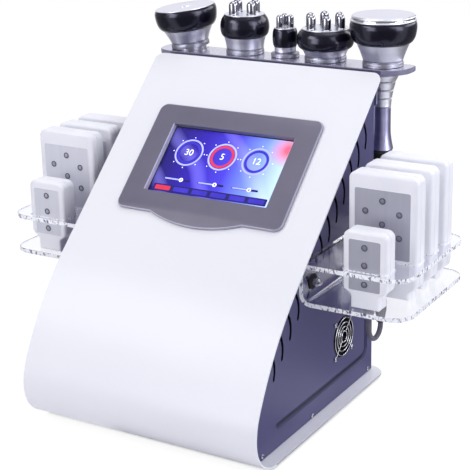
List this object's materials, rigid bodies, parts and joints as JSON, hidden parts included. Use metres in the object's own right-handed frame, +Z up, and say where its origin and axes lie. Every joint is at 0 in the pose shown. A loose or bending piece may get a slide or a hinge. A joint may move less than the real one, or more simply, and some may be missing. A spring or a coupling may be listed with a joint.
{
  "type": "cavitation slimming machine",
  "caption": "Tabletop slimming machine: sloping front with touch screen, vented casing, rear rack of handpieces and clear side trays of lift-out laser pads.",
  "frame": {"origin": "centre of the bounding box in X and Y, on the surface that the rubber foot strips stand on", "axes": "+Z up, +X to the operator's right, sloping front and screen towards -Y, handpiece rack towards +Y"},
  "size_m": [0.514, 0.3732, 0.436],
  "materials": {
    "white_paint": "satin white paint",
    "grey_paint": "satin grey-violet paint",
    "bezel_grey": "satin grey moulding",
    "screen_glass": "lit display under glass",
    "black_plastic": "gloss black",
    "black_rubber": "matt black rubber",
    "chrome": "polished chrome",
    "brushed_aluminium": "turned and brushed",
    "face_metal": "fine satin metal",
    "clear_acrylic": "clear acrylic with polished edges",
    "pad_white": "fine satin white moulding",
    "lead_grey": "smooth grey cable sheath",
    "board_green": "green circuit board",
    "steel": "bare metal case"
  },
  "bodies": {
    "machine": {"front_sheet": "white_paint", "rear_housing": "grey_paint", "side_cover_right": "grey_paint", "side_cover_left": "grey_paint", "handpiece_rack": "grey_paint", "display_bezel": "bezel_grey", "touch_screen": "screen_glass", "main_board": "board_green", "fan_frame": "black_plastic", "fan_guard": "chrome", "power_inlet": "black_plastic", "power_supply": "steel", "vacuum_pump": "steel", "foot_strip_front": "black_rubber", "foot_strip_rear": "black_rubber", "pad_lead": "lead_grey", "lead_socket_front": "lead_grey", "lead_socket_rear": "black_rubber", "tray_right_lower": "clear_acrylic", "tray_right_upper": "clear_acrylic", "tray_left_lower": "clear_acrylic", "tray_left_upper": "clear_acrylic"},
    "fan_rotor": {"fan_rotor": "black_plastic"},
    "power_switch": {"power_switch": "black_plastic"},
    "vacuum_handpiece": {"vacuum_handle": "brushed_aluminium", "vacuum_band": "black_plastic", "vacuum_face": "face_metal", "vacuum_gland": "black_rubber"},
    "quad_handpiece": {"quad_handle": "brushed_aluminium", "quad_band": "black_plastic", "quad_face": "face_metal", "quad_gland": "black_rubber"},
    "tri_handpiece": {"tri_handle": "brushed_aluminium", "tri_band": "black_plastic", "tri_face": "face_metal", "tri_gland": "black_rubber"},
    "hexa_handpiece": {"hexa_handle": "brushed_aluminium", "hexa_band": "black_plastic", "hexa_face": "face_metal", "hexa_gland": "black_rubber"},
    "cavitation_handpiece": {"cavitation_handle": "brushed_aluminium", "cavitation_band": "black_plastic", "cavitation_face": "chrome", "cavitation_gland": "black_rubber"},
    "right_small_pad": {"right_small_pad_front": "pad_white", "right_small_pad_rear": "pad_white"},
    "right_large_pad_1": {"right_large_pad_1_front": "pad_white", "right_large_pad_1_rear": "pad_white"},
    "right_large_pad_2": {"right_large_pad_2_front": "pad_white", "right_large_pad_2_rear": "pad_white"},
    "right_large_pad_3": {"right_large_pad_3_front": "pad_white", "right_large_pad_3_rear": "pad_white"},
    "left_small_pad": {"left_small_pad_front": "pad_white", "left_small_pad_rear": "pad_white"},
    "left_large_pad_1": {"left_large_pad_1_front": "pad_white", "left_large_pad_1_rear": "pad_white"},
    "left_large_pad_2": {"left_large_pad_2_front": "pad_white", "left_large_pad_2_rear": "pad_white"},
    "left_large_pad_3": {"left_large_pad_3_front": "pad_white", "left_large_pad_3_rear": "pad_white"}
  },
  "joints": [
    {"name": "fan_spin", "type": "hinge", "parent": "machine", "child": "fan_rotor", "pos_m": [0.125, 0.04275, 0.0776], "axis": [1, 0, 0], "continuous": true},
    {"name": "switch_rock", "type": "hinge", "parent": "machine", "child": "power_switch", "pos_m": [0.08, 0.11965, 0.082], "axis": [1, 0, 0], "range_deg": [-14, 0]},
    {"name": "vacuum_lift", "type": "slide", "parent": "machine", "child": "vacuum_handpiece", "axis": [-0.1045, -0.0628, 0.9925], "range_m": [0, 0.15]},
    {"name": "quad_lift", "type": "slide", "parent": "machine", "child": "quad_handpiece", "axis": [0, 0, 1], "range_m": [0, 0.15]},
    {"name": "tri_lift", "type": "slide", "parent": "machine", "child": "tri_handpiece", "axis": [0, 0, 1], "range_m": [0, 0.15]},
    {"name": "hexa_lift", "type": "slide", "parent": "machine", "child": "hexa_handpiece", "axis": [0, 0, 1], "range_m": [0, 0.15]},
    {"name": "cavitation_lift", "type": "slide", "parent": "machine", "child": "cavitation_handpiece", "axis": [0, 0, 1], "range_m": [0, 0.15]},
    {"name": "right_small_pad_lift", "type": "slide", "parent": "machine", "child": "right_small_pad", "axis": [0, 0, 1], "range_m": [0, 0.12]},
    {"name": "right_large_pad_1_lift", "type": "slide", "parent": "machine", "child": "right_large_pad_1", "axis": [0, 0, 1], "range_m": [0, 0.12]},
    {"name": "right_large_pad_2_lift", "type": "slide", "parent": "machine", "child": "right_large_pad_2", "axis": [0, 0, 1], "range_m": [0, 0.12]},
    {"name": "right_large_pad_3_lift", "type": "slide", "parent": "machine", "child": "right_large_pad_3", "axis": [0, 0, 1], "range_m": [0, 0.12]},
    {"name": "left_small_pad_lift", "type": "slide", "parent": "machine", "child": "left_small_pad", "axis": [0, 0, 1], "range_m": [0, 0.12]},
    {"name": "left_large_pad_1_lift", "type": "slide", "parent": "machine", "child": "left_large_pad_1", "axis": [0, 0, 1], "range_m": [0, 0.12]},
    {"name": "left_large_pad_2_lift", "type": "slide", "parent": "machine", "child": "left_large_pad_2", "axis": [0, 0, 1], "range_m": [0, 0.12]},
    {"name": "left_large_pad_3_lift", "type": "slide", "parent": "machine", "child": "left_large_pad_3", "axis": [0, 0, 1], "range_m": [0, 0.12]}
  ]
}
